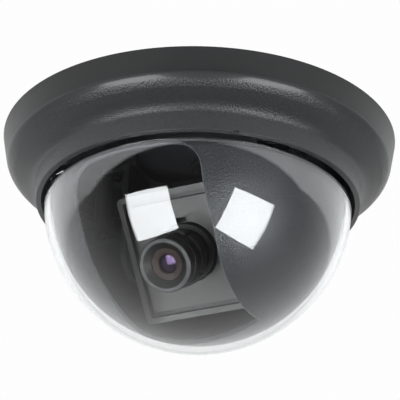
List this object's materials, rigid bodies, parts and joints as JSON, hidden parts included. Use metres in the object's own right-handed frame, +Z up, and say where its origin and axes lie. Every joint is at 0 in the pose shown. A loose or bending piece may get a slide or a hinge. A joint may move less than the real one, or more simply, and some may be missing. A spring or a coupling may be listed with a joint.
{
  "type": "dome cctv camera",
  "caption": "Small ceiling dome CCTV camera: dark trim cover, clear dome, slotted inner liner, and a lens module that pans, tilts and focuses.",
  "frame": {"origin": "centre of the ceiling face of the base", "axes": "+Z up into the ceiling, the dome hangs towards -Z, the lens looks towards -Y and down"},
  "size_m": [0.104, 0.104, 0.0577],
  "materials": {
    "base_plastic": "fine satin black-grey moulding",
    "grommet_rubber": "matt black rubber",
    "table_plastic": "satin black moulding",
    "yoke_steel": "thin dark grey powder coat on sheet steel",
    "screw_steel": "bright zinc-plated steel",
    "liner_plastic": "matt dark grey, finely speckled",
    "module_plastic": "satin dark grey",
    "holder_plastic": "matt black",
    "sensor_glass": "dark cover glass over a chip",
    "circuit_board": "green solder mask",
    "chip_black": "black epoxy",
    "connector_plastic": "cream nylon",
    "capacitor_can": "bright aluminium can",
    "lens_metal": "dark anodised, turned rings",
    "retainer_bronze": "brown coated ring",
    "lens_glass": "purple anti-reflection coating",
    "cover_plastic": "near-black grey; smooth band, finely grained from shoulder to lip",
    "clear_plastic": "clear polished polycarbonate",
    "ring_steel": "plain stamped steel"
  },
  "bodies": {
    "base": {"base_plate": "base_plastic", "cable_grommet": "grommet_rubber", "pan_clamp_1": "table_plastic", "pan_clamp_2": "table_plastic", "pan_clamp_3": "table_plastic", "pan_clamp_screw_1": "screw_steel", "pan_clamp_screw_2": "screw_steel", "pan_clamp_screw_3": "screw_steel"},
    "pan": {"turntable": "table_plastic", "yoke_arm_left": "yoke_steel", "yoke_arm_right": "yoke_steel", "yoke_screw_1": "screw_steel", "yoke_screw_2": "screw_steel", "yoke_screw_3": "screw_steel", "yoke_screw_4": "screw_steel", "inner_liner": "liner_plastic", "liner_screw_left": "screw_steel", "liner_screw_right": "screw_steel"},
    "camera": {"module_frame": "module_plastic", "front_plate": "module_plastic", "lens_holder": "holder_plastic", "lens_set_screw": "screw_steel", "image_sensor": "sensor_glass", "sensor_board": "circuit_board", "processor_chip": "chip_black", "power_board": "circuit_board", "board_spacer_1": "screw_steel", "board_spacer_2": "screw_steel", "board_spacer_3": "screw_steel", "board_spacer_4": "screw_steel", "board_screw_1": "screw_steel", "board_screw_2": "screw_steel", "board_screw_3": "screw_steel", "board_screw_4": "screw_steel", "power_connector": "connector_plastic", "capacitor_1": "capacitor_can", "capacitor_2": "capacitor_can", "tilt_screw_left": "screw_steel", "tilt_screw_right": "screw_steel"},
    "lens": {"lens_barrel": "lens_metal", "front_retaining_ring": "retainer_bronze", "front_element": "lens_glass", "rear_element": "lens_glass"},
    "lock_ring": {"lens_lock_ring": "lens_metal"},
    "cover": {"trim_cover": "cover_plastic", "clear_dome": "clear_plastic", "dome_clamp_ring": "ring_steel", "clamp_ring_screw_1": "screw_steel", "clamp_ring_screw_2": "screw_steel", "clamp_ring_screw_3": "screw_steel", "clamp_ring_screw_4": "screw_steel"}
  },
  "joints": [
    {"name": "cover_pull_off", "type": "slide", "parent": "base", "child": "cover", "axis": [0, 0, -1], "range_m": [0, 0.07]},
    {"name": "pan", "type": "hinge", "parent": "base", "child": "pan", "pos_m": [0, 0, 0], "axis": [0, 0, 1], "range_deg": [-175, 175]},
    {"name": "tilt", "type": "hinge", "parent": "pan", "child": "camera", "pos_m": [0, 0, -0.0306], "axis": [1, 0, 0], "range_deg": [-35, 54]},
    {"name": "lens_focus", "type": "hinge", "parent": "camera", "child": "lens", "pos_m": [0, 0, -0.0306], "axis": [0, -0.808, -0.5892], "range_deg": [-180, 180]},
    {"name": "lock_ring_turn", "type": "hinge", "parent": "lens", "child": "lock_ring", "pos_m": [0, 0, -0.0306], "axis": [0, -0.808, -0.5892], "range_deg": [-180, 180]}
  ]
}
